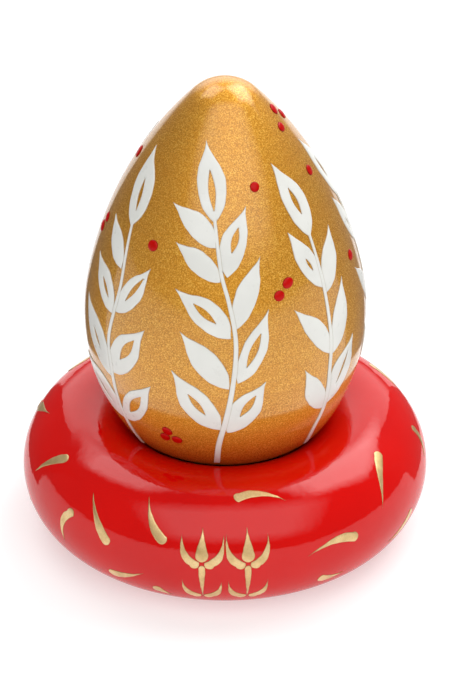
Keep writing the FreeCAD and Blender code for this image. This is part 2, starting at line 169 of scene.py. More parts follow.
STROKES = (
    (-96, 44, -150, 12, 0), (-67, 37, 50, 13.5, 0.5), (-50, 2, 80, 11.5, 1.75),
    (-39, 26, -53, 14.5, -0.5), (-21, 39.5, -60, 13, -1), (-29, -20, -158, 11.5, 0.5),
    (-18.5, -35, 143, 5.5, 0), (12, 61, 167, 13.5, -1.75), (56, 40, 53, 15.5, 1),
    (31.5, 7, 5, 15, 1.5), (85, 27, 59, 9, -1.5), (32, -27, 175, 8, 0.5),
    (60, -15, 20, 12, -1), (115, 50, 20, 11, 0), (108, 5, -70, 13, 1),
    (132, 24, 150, 14, -1), (146, 56, 35, 12, 1), (150, -12, 10, 12, 1),
    (168, 20, -55, 14, 1.5), (-176, 52, 160, 13, -1), (-164, -8, 75, 12, 1),
    (-150, 34, 40, 14, 1), (-132, 8, -160, 13, -1.5), (-126, 54, -25, 12, 1),
    (-108, 12, 65, 13, 1.5), (-82, -16, 175, 11, 1), (-118, -22, 25, 9, 0),
)

# The two edges of a drop start at its tail. Each control point is a fraction of the
# length, a share of the bend, and a share of the half width.
DROP_EDGE = ((0, 0, 0), (0.35, 1, 0.2), (0.68, 1, 1))

# The ornament at the front is a pair of tulips made of drops. Each row is across and up
# from the tulip's middle, tilt, length, bow and width. The side rows are mirrored too.
TULIP_MIDDLE = (
    (0, 6.8, -90, 9, 0, 3.2),
    (0, -4.8, 90, 12.5, 0, 1.7),
)
TULIP_SIDE = (
    (3.2, 5.2, -112, 10, 1.5, 2.6),
    (2.9, -6.8, -116, 8.5, 1.2, 2.4),
)
TULIP_ACROSS = (-5.6, 5.6)


# ---------------------------------------------------------------- the two turned skins

# How far below an arc's start a height still counts as on that arc.
ARC_SLACK = 1e-6


def circles_meet(centre_a, radius_a, centre_b, radius_b):
    """Where two circles meet, to the left of the line from centre a to centre b."""
    across = centre_b - centre_a
    gap = across.length
    along = (gap**2 + radius_a**2 - radius_b**2) / (2 * gap)
    out = math.sqrt(radius_a**2 - along**2)
    ahead = across / gap
    left = Vector((-ahead.y, ahead.x))
    return centre_a + ahead * along + left * out


def egg_arcs():
    """The five profile arcs, bottom to tip, as (centre, radius, start, end angle)."""
    bottom_at = Vector((0, BOTTOM_ARC))
    belly_at = Vector((BELLY_RADIUS - BELLY_ARC, BELLY_HEIGHT))
    tip_at = Vector((0, EGG_HEIGHT - TIP_ARC))
    shoulder_at = circles_meet(bottom_at, BOTTOM_ARC - SHOULDER_ARC,
                               belly_at, BELLY_ARC - SHOULDER_ARC)
    flank_at = circles_meet(belly_at, FLANK_ARC - BELLY_ARC, tip_at, FLANK_ARC - TIP_ARC)
    turns = (shoulder_at - bottom_at, shoulder_at - belly_at,
             belly_at - flank_at, tip_at - flank_at)
    angles = [-math.pi / 2] + [math.atan2(v.y, v.x) for v in turns] + [math.pi / 2]
    centres = (bottom_at, shoulder_at, belly_at, flank_at, tip_at)
    radii = (BOTTOM_ARC, SHOULDER_ARC, BELLY_ARC, FLANK_ARC, TIP_ARC)
    return list(zip(centres, radii, angles[:-1], angles[1:]))


EGG_ARCS = egg_arcs()


def egg_skin(height):
    """Radius and outward normal angle of the egg at heights above its lowest point."""
    radius = np.zeros_like(height)
    normal = np.zeros_like(height)
    for centre, arc, start, _ in EGG_ARCS:
        here = height >= centre.y + arc * math.sin(start) - ARC_SLACK
        angle = np.arcsin(np.clip((height - centre.y) / arc, -1, 1))
        radius = np.where(here, centre.x + arc * np.cos(angle), radius)
        normal = np.where(here, angle, normal)
    return radius, normal


def on_egg(flat, rise, azimuth):
    """Points of a drawing that faces azimuth, laid on the egg and raised off its skin."""
    radius, normal = egg_skin(flat[:, 1])
    turn = np.arcsin(np.clip(flat[:, 0] / radius, -1, 1)) + math.radians(azimuth)
    reach = radius + rise * np.cos(normal)
    up = flat[:, 1] + rise * np.sin(normal) + SEAT_HEIGHT
    return np.stack([reach * np.sin(turn), -reach * np.cos(turn), up], axis=1)


def on_ring(flat, rise, azimuth, section):
    """Points of a drawing, laid on the ring's tube round (azimuth, section), and raised."""
    angle = math.radians(section) + flat[:, 1] / TUBE_RADIUS
    reach = RING_RADIUS + TUBE_RADIUS * np.cos(angle)
    turn = math.radians(azimuth) + flat[:, 0] / reach
    out = RING_RADIUS + (TUBE_RADIUS + rise) * np.cos(angle)
    up = TUBE_RISE + (TUBE_RADIUS + rise) * np.sin(angle)
    return np.stack([out * np.sin(turn), -out * np.cos(turn), up], axis=1)


# ---------------------------------------------------------------- meshes

EGG_STEP = 0.9
LEAST_ARC_STEPS = 6
EGG_COLUMNS = 180
RING_COLUMNS = 240
TUBE_STEPS = 104
FOOT_STEPS = 10


def add_mesh(name, points, faces, material):
    """A smooth shaded object from points in millimetres."""
    mesh = bpy.data.meshes.new(name)
    mesh.from_pydata((np.asarray(points) * MM).tolist(), [], faces)
    mesh.shade_smooth()
    mesh.materials.append(material)
    piece = bpy.data.objects.new(name, mesh)
    bpy.context.scene.collection.objects.link(piece)
    return piece


def stand_for(piece, node, body):
    """Makes the piece ride a body in place of a CAD node, which it hides."""
    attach(piece, body)
    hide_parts(node)


def turned_grid(profile, columns, closed):
    """Points and quads of a profile of (radius, height) turned about the axis."""
    rows = len(profile)
    turn = np.linspace(0, 2 * math.pi, columns, endpoint=False)
    reach, up = profile[:, 0:1], profile[:, 1:2]
    grid = np.stack([reach * np.sin(turn), -reach * np.cos(turn), up + 0 * turn], axis=2)
    faces = []
    for i in range(rows if closed else rows - 1):
        low, high = i * columns, (i + 1) % rows * columns
        for j in range(columns):
            k = (j + 1) % columns
            faces.append((low + j, low + k, high + k, high + j))
    return grid.reshape(-1, 3), faces


def make_egg(material):
    """A fine lathe of the five arcs, with a vertex at each pole."""
    profile = []
    for centre, radius, start, end in EGG_ARCS:
        steps = max(LEAST_ARC_STEPS, round(radius * (end - start) / EGG_STEP))
        for angle in np.linspace(start, end, steps, endpoint=False):
            profile.append((centre.x + radius * math.cos(angle),
                            centre.y + radius * math.sin(angle)))
    profile = np.array(profile[1:])
    profile[:, 1] += SEAT_HEIGHT
    points, faces = turned_grid(profile, EGG_COLUMNS, closed=False)
    foot, tip = len(points), len(points) + 1
    points = np.vstack([points, (0, 0, SEAT_HEIGHT), (0, 0, SEAT_HEIGHT + EGG_HEIGHT)])
    last = foot - EGG_COLUMNS
    for j in range(EGG_COLUMNS):
        k = (j + 1) % EGG_COLUMNS
        faces.append((foot, k, j))
        faces.append((tip, last + j, last + k))
    egg = add_mesh("gold_egg", points, faces, material)
    stand_for(egg, "egg_body", "egg")


def make_ring(material):
    """The tube's arc, closed by the flat foot."""
    cut = math.asin(TUBE_RISE / TUBE_RADIUS)
    angle = np.linspace(-cut, math.pi + cut, TUBE_STEPS)
    arc = np.stack([RING_RADIUS + TUBE_RADIUS * np.cos(angle),
                    TUBE_RISE + TUBE_RADIUS * np.sin(angle)], axis=1)
    across = np.linspace(arc[-1, 0], arc[0, 0], FOOT_STEPS)[1:-1]
    foot = np.stack([across, 0 * across], axis=1)
    points, faces = turned_grid(np.vstack([arc, foot]), RING_COLUMNS, closed=True)
    ring = add_mesh("red_ring", points, faces, material)
    stand_for(ring, "ring_stand", "stand")


# ---------------------------------------------------------------- outlines

TINY = 1e-9
OUTLINE_STEP = 0.35
LEAST_LEAF_STEPS = 8
LEAST_DROP_STEPS = 10
HEAD_STEPS = 14
BERRY_STEPS = 30

# How many waves each part of a hand-drawn edge's wobble has round the outline.
WOBBLE_WAVES = (3, 5, 8, 13)


def bezier(points, count):
    """count points along a cubic curve, without its last one."""
    a, b, c, d = (np.array(p, float) for p in points)
    t = np.linspace(0, 1, count, endpoint=False)[:, None]
    return a * (1 - t)**3 + 3 * b * t * (1 - t)**2 + 3 * c * t**2 * (1 - t) + d * t**3


def leaf_outlines(leaf, mirror):
    """The leaf's outline, and the slit's outline or None."""
    flip = np.array((mirror, 1))
    base, tip = np.array(leaf.base) * flip, np.array(leaf.tip) * flip
    length = np.linalg.norm(tip - base)
    ahead = (tip - base) / length
    left = np.array((-ahead[1], ahead[0])) * mirror

    def point(fraction, out):
        return base + ahead * (fraction * length) + left * out

    steps = max(LEAST_LEAF_STEPS, round(length / 2 / OUTLINE_STEP))

    def side(half_width):
        curves = []
        for curve in (LEAF_RISE, LEAF_FALL):
            curves.append(bezier([point(f, share * half_width) for f, share in curve], steps))
        return np.vstack(curves)

    back = np.vstack([side(-leaf.right), [tip]])
    outline = np.vstack([side(leaf.left), back[:0:-1]])
    if not leaf.slit:
        return outline, None
    start, end, half = leaf.slit
    middle = SLIT_SHIFT * (leaf.left - leaf.right)
    steps = max(LEAST_LEAF_STEPS, round((end - start) * length / OUTLINE_STEP))
    along = np.linspace(start, end, steps)
    belly = np.sin(np.linspace(0, math.pi, steps)) * half
    up = [point(f, middle + w) for f, w in zip(along, belly)]
    down = [point(f, middle - w) for f, w in zip(along, belly)]
    return outline, np.array(up + down[-2:0:-1])


def smooth_path(points, step):
    """A smooth line through the points, evenly sampled."""
    points = np.array(points, float)
    padded = np.vstack([2 * points[0] - points[1], points, 2 * points[-1] - points[-2]])
    parts = []
    for a, b, c, d in zip(padded, padded[1:], padded[2:], padded[3:]):
        count = max(2, round(np.linalg.norm(c - b) / step))
        parts.append(bezier((b, b + (c - a) / 6, c - (d - b) / 6, c), count))
    return np.vstack(parts + [points[-1:]])


def stem_sides(stem, mirror):
    """The stem's left and right edges, foot to top."""
    line = smooth_path(stem, OUTLINE_STEP) * (mirror, 1)
    ahead = np.gradient(line, axis=0)
    ahead /= np.linalg.norm(ahead, axis=1)[:, None]
    across = np.stack([-ahead[:, 1], ahead[:, 0]], axis=1)
    half = np.linspace(STEM_FOOT_WIDTH, STEM_TOP_WIDTH, len(line))[:, None] / 2
    return line + across * half, line - across * half


def drop_outline(length, bow, width):
    """A brush drop, tail at -x, head at +x, bent towards +y by bow."""
    half = width / 2
    tail, neck = -length / 2, length / 2 - half
    bend = 4 * bow / 3
    steps = max(LEAST_DROP_STEPS, round(length / OUTLINE_STEP))
    sides = []
    for side in (half, -half):
        points = [(tail + along * length, bent * bend + wide * side)
                  for along, bent, wide in DROP_EDGE]
        sides.append(bezier(points + [(neck, side)], steps))
    upper, lower = sides
    turn = np.linspace(math.pi / 2, -math.pi / 2, HEAD_STEPS)
    head = np.stack([neck + half * np.cos(turn), half * np.sin(turn)], axis=1)
    return np.vstack([upper, head, lower[:0:-1]])


def wobble(outline, size, rng):
    """The unsteady edge of a line drawn by hand."""
    step = np.roll(outline, -1, axis=0) - np.roll(outline, 1, axis=0)
    length = np.linalg.norm(step, axis=1)
    out = np.stack([step[:, 1], -step[:, 0]], axis=1) / np.maximum(length, TINY)[:, None]
    along = np.cumsum(np.linalg.norm(outline - np.roll(outline, 1, axis=0), axis=1))
    share = 2 * math.pi * along / along[-1]
    shift = np.zeros(len(outline))
    for waves in WOBBLE_WAVES:
        shift += np.sin(waves * share + rng.uniform(0, 2 * math.pi)) * size / len(WOBBLE_WAVES)
    return outline + out * shift[:, None]


# ---------------------------------------------------------------- raised paint

# Points closer than WELD become one, and the border of the paint is SUNK into the skin.
WELD = 1e-4
SUNK = 0.04

# Rows of points follow an outline at these shares of its rounded edge. A point is
# dropped if its depth is off its row's by more than the share RIM_SLACK.
RIM_SHARES = (0.12, 0.32, 0.6, 1.0)
RIM_SLACK = 0.03

# Rows of points follow a seam at these distances. SEAM_FLOOR keeps the seam shallow.
SEAM_SHIFTS = (-0.3, -0.15, 0, 0.15, 0.3)
SEAM_FLOOR = 0.06

# The spacing of the points inside a painted area.
FIELD_STEP = 1.0

# How many points at a stem's top have no seam, because the top leaf lies over them.
SEAMLESS_TOP = 14


def distance(points, line):
    """How far each point is from the nearest spot of a line."""
    x, y = points[:, 0].copy(), points[:, 1].copy()
    near = np.full(len(points), np.inf)
    for (ax, ay), (bx, by) in zip(line.tolist(), line[1:].tolist()):
        ex, ey = bx - ax, by - ay
        px, py = x - ax, y - ay
        share = np.clip((px * ex + py * ey) / max(ex * ex + ey * ey, TINY), 0, 1)
        near = np.minimum(near, (px - share * ex)**2 + (py - share * ey)**2)
    return np.sqrt(near)


def inside(points, outline):
    """Whether each point is inside a closed outline."""
    x, y = points[:, 0].copy(), points[:, 1].copy()
    odd = np.zeros(len(points), bool)
    for (ax, ay), (bx, by) in zip(outline.tolist(), np.roll(outline, -1, axis=0).tolist()):
        if ay != by:
            odd ^= ((ay > y) != (by > y)) & (x < ax + (y - ay) * (bx - ax) / (by - ay))
    return odd


def depth(points, solids, holes):
    """How deep each point is inside the painted region: the solids less the holes."""
    deepest = np.full(len(points), -np.inf)
    for outline in solids:
        near = distance(points, np.vstack([outline, outline[:1]]))
        deepest = np.maximum(deepest, np.where(inside(points, outline), near, -near))
    for outline in holes:
        near = distance(points, np.vstack([outline, outline[:1]]))
        deepest = np.minimum(deepest, np.where(inside(points, outline), -near, near))
    return deepest


def anticlockwise(outline):
    """The outline, turned round if it runs clockwise."""
    after = np.roll(outline, -1, axis=0)
    twice_area = np.sum(outline[:, 0] * after[:, 1] - outline[:, 1] * after[:, 0])
    return outline if twice_area > 0 else outline[::-1]


def moved_sideways(line, shift):
    """The line moved to its left by shift."""
    ahead = np.gradient(line, axis=0)
    left = np.stack([-ahead[:, 1], ahead[:, 0]], axis=1)
    left /= np.maximum(np.linalg.norm(ahead, axis=1), TINY)[:, None]
    return line + left * shift


def field_points(solids):
    """A triangular lattice over the drawing."""
    everything = np.vstack(solids)
    low, high = everything.min(axis=0), everything.max(axis=0)
    rows = np.arange(low[1], high[1], FIELD_STEP * math.sqrt(3) / 2)
    lattice = []
    for i, y in enumerate(rows):
        x = np.arange(low[0] + (i % 2) * FIELD_STEP / 2, high[0], FIELD_STEP)
        lattice.append(np.stack([x, 0 * x + y], axis=1))
    return np.vstack(lattice)


def triangulate(points, outlines, region):
    """Points and triangles of the region, with the closed outlines kept as edges."""
    flat, edges = [], []
    for outline in outlines:
        start, count = sum(len(p) for p in flat), len(outline)
        flat.append(outline)
        edges += [(start + i, start + (i + 1) % count) for i in range(count)]
    flat = [Vector(p) for p in np.vstack(flat + [points])]
    found = delaunay_2d_cdt(flat, edges, [], 0, WELD, True)
    corners, triangles = np.array(found[0]), np.array(found[2])
    middles = corners[triangles].mean(axis=1)
    triangles = triangles[depth(middles, *region) > 0]
    used, triangles = np.unique(triangles, return_inverse=True)
    return corners[used], [tuple(t) for t in triangles.reshape(-1, 3).tolist()]


def backing(flat, triangles, region):
    """Triangles over the region that use only its border points, facing down."""
    sides = {(a, b) for t in triangles for a, b in zip(t, t[1:] + t[:1])}
    border = [(a, b) for a, b in sides if (b, a) not in sides]
    used = sorted({i for side in border for i in side})
    order = {old: new for new, old in enumerate(used)}
    edges = sorted((order[a], order[b]) for a, b in border)
    found = delaunay_2d_cdt([Vector(flat[i]) for i in used], edges, [], 0, TINY, True)
    middles = np.array(found[0])[np.array(found[2])].mean(axis=1)
    back = []
    for t, kept in zip(found[2], depth(middles, *region) > 0):
        origin = [found[3][i][0] for i in t if found[3][i]]
        if kept and len(origin) == 3:
            back.append(tuple(used[i] for i in reversed(origin)))
    return back, used


def paint_points(region, edge, seams):
    """Points that follow the rims and seams of a painted region, and fill it."""
    solids, holes = region
    bands = []
    for outline, inward in [(o, 1) for o in solids] + [(o, -1) for o in holes]:
        loop = anticlockwise(np.vstack([outline[-1:], outline, outline[:1]]))
        for share in RIM_SHARES:
            row = moved_sideways(loop, inward * share * edge)[1:-1]
            bands.append((row, (share - RIM_SLACK) * edge, (share + RIM_SLACK) * edge))
    for seam in seams:
        for shift in SEAM_SHIFTS:
            bands.append((moved_sideways(seam, shift), edge / 2, np.inf))
    bands.append((field_points(solids), edge + FIELD_STEP / 3, np.inf))
    rows, least, most = zip(*bands)
    counts = [len(row) for row in rows]
    points = np.vstack(rows)
    deep = depth(points, *region)
    return points[(deep > np.repeat(least, counts)) & (deep < np.repeat(most, counts))]


def raised_paint(solids, holes, rise, edge, place, seams=()):
    """A closed skin of paint, with how far each point is from a rim or seam.

    It is rounded over edge at its rim, and sunk a little at its border. A seam is a
    shallow line where one stroke of paint was laid over another.
    """
    region = (solids, holes)
    points = paint_points(region, edge, seams)
    flat, triangles = triangulate(points, solids + holes, region)
    back, border = backing(flat, triangles, region)
    rim = np.maximum(depth(flat, *region), 0)
    for seam in seams:
        rim = np.minimum(rim, distance(flat, seam) + SEAM_FLOOR)
    inward = np.clip(rim / edge, 0, 1)
    height = rise * np.sqrt(1 - (1 - inward)**2)
    height[border] = -SUNK
    rim[border] = 0
    doubled = {frozenset(t) for t in triangles} & {frozenset(t) for t in back}
    faces = [t for t in triangles + back if frozenset(t) not in doubled]
    used, faces = np.unique(faces, return_inverse=True)
    return place(flat, height)[used], faces.reshape(-1, 3).tolist(), rim[used]


def join(parts):
    """Several (points, faces, rim) as one."""
    points, faces, rims, start = [], [], [], 0
    for some_points, some_faces, some_rim in parts:
        points.append(some_points)
        faces += [tuple(i + start for i in face) for face in some_faces]
        rims.append(some_rim)
        start += len(some_points)
    return np.vstack(points), faces, np.concatenate(rims)


def add_paint(name, parts, material):
    """A painted piece. Its rim attribute is the distance in millimetres from an edge."""
    points, faces, rim = join(parts)
    piece = add_mesh(name, points, faces, material)
    stored = piece.data.attributes.new("rim", "FLOAT", "POINT")
    stored.data.foreach_set("value", rim)
    return piece


def make_sprig(name, drawing, mirror, azimuth, rng, material):
    """One sprig of leaves on a stem, as a single skin of enamel."""
    solids, holes = [], []
    for leaf in drawing.leaves:
        outline, slit = leaf_outlines(leaf, mirror)
        solids.append(wobble(outline, LEAF_WOBBLE, rng))
        if slit is not None:
            holes.append(slit)
    left, right = stem_sides(drawing.stem, mirror)
    solids.append(np.vstack([left, right[::-1]]))
    seams = [side[:-SEAMLESS_TOP] for side in (left, right)]
    part = raised_paint(solids, holes, ENAMEL_RISE, ENAMEL_EDGE,
                        lambda flat, rise: on_egg(flat, rise, azimuth), seams)
    stand_for(add_paint(f"{name}_enamel", [part], material), name, "egg")


def spun(outline, turn):
    """The outline, turned anticlockwise about its origin."""
    spin = np.array(((math.cos(turn), -math.sin(turn)), (math.sin(turn), math.cos(turn))))
    return outline @ spin.T


def make_berries(rng, material):
    """Domed dots of enamel, each slightly different in size and length."""
    turn = np.linspace(0, 2 * math.pi, BERRY_STEPS, endpoint=False)
    parts = []
    for azimuth, height in BERRIES:
        size = BERRY_RADIUS * rng.uniform(*BERRY_SIZES)
        stretch = rng.uniform(*BERRY_STRETCHES)
        outline = np.stack([size * np.cos(turn), size * stretch * np.sin(turn)], axis=1)
        tilt = rng.uniform(0, math.pi)
        _, normal = egg_skin(np.array([height], float))
        slope = math.cos(float(normal[0]))
        outline = spun(outline, tilt) * (1, slope) + (0, height)
        parts.append(raised_paint([outline], [], BERRY_RISE, size * BERRY_EDGE_SHARE * slope,
                                  lambda flat, rise, az=azimuth: on_egg(flat, rise, az)))
    stand_for(add_paint("red_berry_dots", parts, material), "red_berries", "egg")


def make_strokes(name, node, strokes, rng, material):
    """Brush drops of gold on the ring."""
    parts = []
    for stroke in strokes:
        outline = wobble(drop_outline(stroke.length, stroke.bow, stroke.width), STROKE_WOBBLE, rng)
        parts.append(raised_paint(
            [spun(outline, math.radians(stroke.tilt))], [], GOLD_RISE, GOLD_EDGE,
            lambda flat, rise, s=stroke: on_ring(flat, rise, s.azimuth, s.section)))
    stand_for(add_paint(name, parts, material), node, "stand")


def tulip_strokes():
    """The drops of both tulips, as strokes on the ring."""
    rows = list(TULIP_MIDDLE)
    for across, up, tilt, length, bow, width in TULIP_SIDE:
        rows.append((across, up, tilt, length, bow, width))
        rows.append((-across, up, 180 - tilt, length, -bow, width))
    strokes = []
    for middle in TULIP_ACROSS:
        for across, up, tilt, length, bow, width in rows:
            section = up / TUBE_RADIUS
            reach = RING_RADIUS + TUBE_RADIUS * math.cos(section)
            azimuth = (middle + across) / reach
            strokes.append(Stroke(math.degrees(azimuth), math.degrees(section),
                                  tilt, length, bow, width))
    return strokes


# ---------------------------------------------------------------- materials

# How far in from an edge or seam the paint carries painted shade, in millimetres.
ENAMEL_SHADE_WIDTH = 0.16
GOLD_SHADE_WIDTH = 0.14

# The sockets of a mix node that belong to colours. Their names aren't unique.
MIX_FACTOR, MIX_FIRST, MIX_SECOND, MIX_RESULT = 0, 6, 7, 2


def new_material(name):
    """A material, its nodes and links, its shader and its object coordinates."""
    material = bpy.data.materials.new(name)
    material.use_nodes = True
    nodes, links = material.node_tree.nodes, material.node_tree.links
    shader = nodes["Principled BSDF"]
    coords = nodes.new("ShaderNodeTexCoord").outputs["Object"]
    return material, nodes, links, shader, coords


def noise(nodes, links, vector, scale, detail, stretch=None):
    """A noise texture in metres. stretch is a separate scale for each axis."""
    if stretch:
        mapping = nodes.new("ShaderNodeMapping")
        mapping.inputs["Scale"].default_value = stretch
        links.new(vector, mapping.inputs["Vector"])
        vector = mapping.outputs["Vector"]
    texture = nodes.new("ShaderNodeTexNoise")
    texture.inputs["Scale"].default_value = scale
    texture.inputs["Detail"].default_value = detail
    links.new(vector, texture.inputs["Vector"])
    return texture.outputs["Fac"]


def ramp(nodes, links, value, stops):
    """A colour ramp of (position, colour) stops."""
    node = nodes.new("ShaderNodeValToRGB")
    elements = node.color_ramp.elements
    while len(elements) < len(stops):
        elements.new(0.5)
    for element, (position, colour) in zip(elements, stops):
        element.position = position
        element.color = (*colour, 1)
    links.new(value, node.inputs["Fac"])
    return node.outputs["Color"]


def spread(nodes, links, value, low, high, from_low=0.3, from_high=0.7):
    """The value moved from one range to another; noise stays near 0.3 to 0.7."""
    node = nodes.new("ShaderNodeMapRange")
    node.inputs["From Min"].default_value = from_low
    node.inputs["From Max"].default_value = from_high
    node.inputs["To Min"].default_value = low
    node.inputs["To Max"].default_value = high
    links.new(value, node.inputs["Value"])
    return node.outputs["Result"]


def tinted(nodes, links, share, colour, tint):
    """The colour, mixed by share with a tint."""
    node = nodes.new("ShaderNodeMix")
    node.data_type = "RGBA"
    links.new(share, node.inputs[MIX_FACTOR])
    links.new(colour, node.inputs[MIX_FIRST])
    node.inputs[MIX_SECOND].default_value = (*tint, 1)
    return node.outputs[MIX_RESULT]


def bump(nodes, links, height, distance, strength, base=None):
    """A surface normal from a height, on top of the normal called base."""
    node = nodes.new("ShaderNodeBump")
    node.inputs["Strength"].default_value = strength
    node.inputs["Distance"].default_value = distance
    links.new(height, node.inputs["Height"])
    if base:
        links.new(base, node.inputs["Normal"])
    return node.outputs["Normal"]


def edge_shade_share(nodes, links, width):
    """The share of painted shade: 1 at a painted edge or seam, falling to 0 at width millimetres
    from it.
    """
    stored = nodes.new("ShaderNodeAttribute")
    stored.attribute_name = "rim"
    return spread(nodes, links, stored.outputs["Fac"], 1, 0, from_low=0, from_high=width)


def gold_lacquer():
    """Metallic gold paint with fine flakes and turning marks, under clear gloss."""
    material, nodes, links, shader, coords = new_material("gold_lacquer")
    flakes = noise(nodes, links, coords, scale=3200, detail=1)
    cloud = noise(nodes, links, coords, scale=90, detail=3)
    turning = noise(nodes, links, coords, scale=1, detail=2, stretch=(25, 25, 1500))
    clouded = spread(nodes, links, cloud, low=0, high=0.3)
    turned = spread(nodes, links, turning, low=0, high=0.3)
    colour = ramp(nodes, links, flakes, ((0.3, (0.42, 0.17, 0.005)), (0.5, (0.67, 0.30, 0.015)),
                                         (0.7, (0.88, 0.56, 0.10))))
    colour = tinted(nodes, links, clouded, colour, (0.73, 0.30, 0.02))
    colour = tinted(nodes, links, turned, colour, (0.53, 0.22, 0.015))
    links.new(colour, shader.inputs["Base Color"])
    shader.inputs["Metallic"].default_value = 0.8
    roughness = spread(nodes, links, flakes, low=0.64, high=0.54)
    links.new(roughness, shader.inputs["Roughness"])
    marks = bump(nodes, links, turning, distance=0.00002, strength=0.6)
    grain = bump(nodes, links, flakes, distance=0.00002, strength=0.6, base=marks)
    links.new(grain, shader.inputs["Normal"])
    links.new(marks, shader.inputs["Coat Normal"])
    shader.inputs["Coat Weight"].default_value = 1.0
    shader.inputs["Coat Roughness"].default_value = 0.08
    return material


def red_lacquer():
    """Deep gloss red with the slight waves of hand-brushed lacquer."""
    material, nodes, links, shader, coords = new_material("red_lacquer")
    waves = noise(nodes, links, coords, scale=130, detail=3)
    peel = noise(nodes, links, coords, scale=700, detail=2)
    tone = noise(nodes, links, coords, scale=40, detail=2)
    colour = ramp(nodes, links, tone, ((0.3, (0.58, 0.001, 0.0005)), (0.7, (0.64, 0.002, 0.0005))))
    links.new(colour, shader.inputs["Base Color"])
    shader.inputs["Roughness"].default_value = 0.4
    shader.inputs["Specular IOR Level"].default_value = 0.0
    soft = bump(nodes, links, waves, distance=0.0003, strength=0.4)
    fine = bump(nodes, links, peel, distance=0.00004, strength=0.5, base=soft)
    links.new(fine, shader.inputs["Coat Normal"])
    links.new(soft, shader.inputs["Normal"])
    shader.inputs["Coat Weight"].default_value = 0.75
    shader.inputs["Coat Roughness"].default_value = 0.05
    return material


def enamel(name, dark, light, edge_shade_colour, gloss):
    """Thick gloss paint with faint brush drag, darkened by painted shade at its edges and seams.
    """
    material, nodes, links, shader, coords = new_material(name)
    drag = noise(nodes, links, coords, scale=500, detail=2)
    tone = noise(nodes, links, coords, scale=120, detail=2)
    colour = ramp(nodes, links, tone, ((0.3, dark), (0.7, light)))
    # Painted shade: the colour darkens towards each edge and seam of the paint.
    colour = tinted(nodes, links, edge_shade_share(nodes, links, ENAMEL_SHADE_WIDTH), colour, edge_shade_colour)
    links.new(colour, shader.inputs["Base Color"])
    roughness = spread(nodes, links, drag, low=0.26, high=0.38)
    links.new(roughness, shader.inputs["Roughness"])
    marks = bump(nodes, links, drag, distance=0.00004, strength=0.35)
    links.new(marks, shader.inputs["Normal"])
    shader.inputs["Specular IOR Level"].default_value = gloss
    shader.inputs["Coat Weight"].default_value = gloss
    shader.inputs["Coat Roughness"].default_value = 0.1
    return material


def gold_paint():
    """Pale satin gold brushed over the lacquer, thinner and darker in patches, with painted shade
    at its edges.
    """
    material, nodes, links, shader, coords = new_material("gold_paint")
    grain = noise(nodes, links, coords, scale=2500, detail=1)
    patch = noise(nodes, links, coords, scale=260, detail=3)
    grained = spread(nodes, links, grain, low=0, high=0.3)
    colour = ramp(nodes, links, patch, ((0.3, (0.58, 0.39, 0.16)), (0.55, (0.80, 0.57, 0.27)),
                                        (0.75, (0.88, 0.68, 0.37))))
    colour = tinted(nodes, links, grained, colour, (0.55, 0.36, 0.14))
    # Painted shade: the colour darkens towards each edge of a stroke.
    colour = tinted(nodes, links, edge_shade_share(nodes, links, GOLD_SHADE_WIDTH), colour, (0.30, 0.16, 0.05))
    links.new(colour, shader.inputs["Base Color"])
    shader.inputs["Metallic"].default_value = 0.75
    roughness = spread(nodes, links, grain, low=0.32, high=0.5)
    links.new(roughness, shader.inputs["Roughness"])
    marks = bump(nodes, links, grain, distance=0.00002, strength=0.5)
    links.new(marks, shader.inputs["Normal"])
    shader.inputs["Coat Weight"].default_value = 0.3
    shader.inputs["Coat Roughness"].default_value = 0.15
    return material


# ---------------------------------------------------------------- the studio

FLOOR_SIZE = 6.0
FLOOR_GREY = 0.55
FLOOR_GLOW = 0.5
UNLIT_REACH = 0.034
WORLD_STRENGTH = 0.2

# Each flag: name, first and last azimuth, height of its outer edge, and grey.
FLAGS = (
    ("flag_left", -96, -142, 0.24, 0.08),
    ("flag_right", 98, 141, 0.24, 0.18),
    ("flag_back", 141, 218, 0.03, 0.8),
)

# A flag is a sector of a flat cone about the axis, from its low inner edge outwards.
FLAG_STEPS = 9
FLAG_NEAR = 0.09
FLAG_FAR = 0.32
FLAG_LIFT = 0.002

# Each softbox: name, azimuth, elevation, distance, size, and radiance of its middle.
SOFTBOXES = (
    ("softbox_right", 132, 52, 1.2, (1.25, 0.95), 5.0),
    ("softbox_left", -140, 56, 1.2, (0.9, 0.8), 3.2),
    ("softbox_top", 6, 48, 1.1, (2.4, 1.6), 1.75),
    ("backdrop", 178, 24, 1.2, (2.0, 1.0), 1.5),
)

# A softbox fades between these distances from its middle, as shares of its size.
SOFTBOX_FADE = (0.25, 0.5)
SOFTBOX_AIM = Vector((0, 0, 0.06))

CAMERA_AIM = Vector((0, 0, 0.0512))
CAMERA_ELEVATION = 31.1
CAMERA_DISTANCE = 1.0
LENS = 213.5
SENSOR_WIDTH = 36


def add_floor():
    """A pale light table that fades shadows, unlit where the stand covers it."""
    bpy.ops.mesh.primitive_plane_add(size=FLOOR_SIZE, location=(0, 0, 0))
    floor = bpy.context.object
    floor.name = "studio_floor"
    material = bpy.data.materials.new("studio_floor")
    material.use_nodes = True
    shader = material.node_tree.nodes["Principled BSDF"]
    shader.inputs["Base Color"].default_value = (FLOOR_GREY, FLOOR_GREY, FLOOR_GREY, 1)
    shader.inputs["Emission Color"].default_value = (1, 1, 1, 1)
    shader.inputs["Roughness"].default_value = 0.8
    shader.inputs["Specular IOR Level"].default_value = 0.2
    nodes, links = material.node_tree.nodes, material.node_tree.links
    coords = nodes.new("ShaderNodeTexCoord").outputs["Object"]
    reach = nodes.new("ShaderNodeVectorMath")
    reach.operation = "LENGTH"
    links.new(coords, reach.inputs[0])
    glow = spread(nodes, links, reach.outputs["Value"], 0, FLOOR_GLOW,
                  from_low=UNLIT_REACH, from_high=UNLIT_REACH + MM)
    links.new(glow, shader.inputs["Emission Strength"])
    floor.data.materials.append(material)


